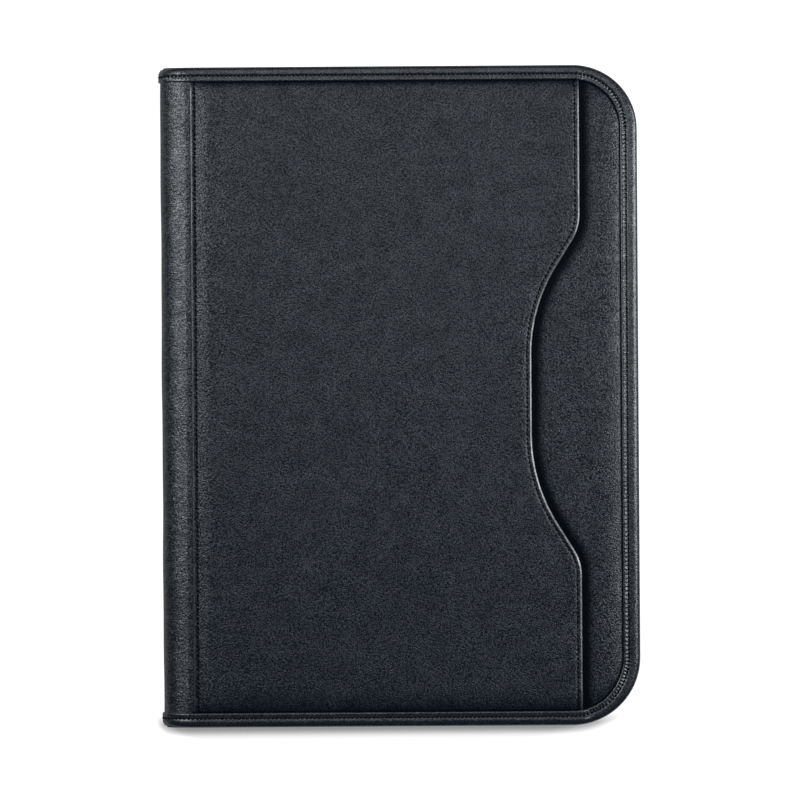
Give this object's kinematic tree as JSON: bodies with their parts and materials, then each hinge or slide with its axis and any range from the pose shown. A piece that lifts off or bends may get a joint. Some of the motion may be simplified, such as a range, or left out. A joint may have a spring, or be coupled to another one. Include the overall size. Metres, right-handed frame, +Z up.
{
  "type": "padfolio",
  "caption": "Closed padded leatherette folio with bound edges, rolled spine, curved slash pocket outside, and writing pad, card pockets and pen loop inside.",
  "frame": {"origin": "on the floor under the middle of the closed folio, which lies on its back cover", "axes": "+X from the spine to the opening edge, +Y to the top edge, +Z up through the covers"},
  "size_m": [0.239, 0.33, 0.024],
  "materials": {
    "leatherette": "satin",
    "inner_leatherette": "matte",
    "binding_tape": "satin",
    "foam": "matte",
    "greyboard": "matte",
    "lining": "matte",
    "paper": "matte",
    "pad_card": "matte",
    "header_tape": "matte",
    "clear_film": "gloss",
    "elastic": "matte"
  },
  "bodies": {
    "back_cover": {"back_leather": "leatherette", "back_foam": "foam", "back_board": "greyboard", "back_lining": "lining", "back_binding": "binding_tape", "pad_panel": "inner_leatherette", "pad_pocket": "inner_leatherette", "spine_leather_back": "leatherette", "spine_padding_back": "foam", "spine_lining_back": "lining", "spine_binding_top_back": "binding_tape", "spine_binding_bottom_back": "binding_tape"},
    "spine": {"spine_leather_middle": "leatherette", "spine_padding_middle": "foam", "spine_lining_middle": "lining", "spine_binding_top_middle": "binding_tape", "spine_binding_bottom_middle": "binding_tape"},
    "front_cover": {"spine_leather_front": "leatherette", "spine_padding_front": "foam", "spine_lining_front": "lining", "spine_binding_top_front": "binding_tape", "spine_binding_bottom_front": "binding_tape", "front_leather": "leatherette", "front_pocket_panel": "leatherette", "front_pocket_lining": "lining", "front_foam": "foam", "front_board": "greyboard", "front_lining": "lining", "front_binding": "binding_tape", "document_pocket": "inner_leatherette", "document_pocket_trim": "leatherette", "card_pocket_1": "inner_leatherette", "card_pocket_2": "inner_leatherette", "card_pocket_3": "inner_leatherette", "id_pocket_frame": "inner_leatherette", "id_window": "clear_film", "pen_loop": "elastic"},
    "writing_pad": {"pad_backing": "pad_card", "pad_paper": "paper", "pad_header_tape": "header_tape"}
  },
  "joints": [
    {"name": "spine_fold", "type": "hinge", "parent": "back_cover", "child": "spine", "pos_m": [-0.11643, 0, 0.00402], "axis": [0, -1, 0], "range_deg": [0, 90]},
    {"name": "cover_fold", "type": "hinge", "parent": "spine", "child": "front_cover", "pos_m": [-0.11643, 0, 0.01997], "axis": [0, -1, 0], "range_deg": [0, 90]},
    {"name": "pad_slide", "type": "slide", "parent": "back_cover", "child": "writing_pad", "axis": [0, 1, 0], "range_m": [0, 0.184]}
  ],
  "couplings": [
    {"joint": "spine_fold", "follows": "cover_fold", "ratio": 1}
  ]
}
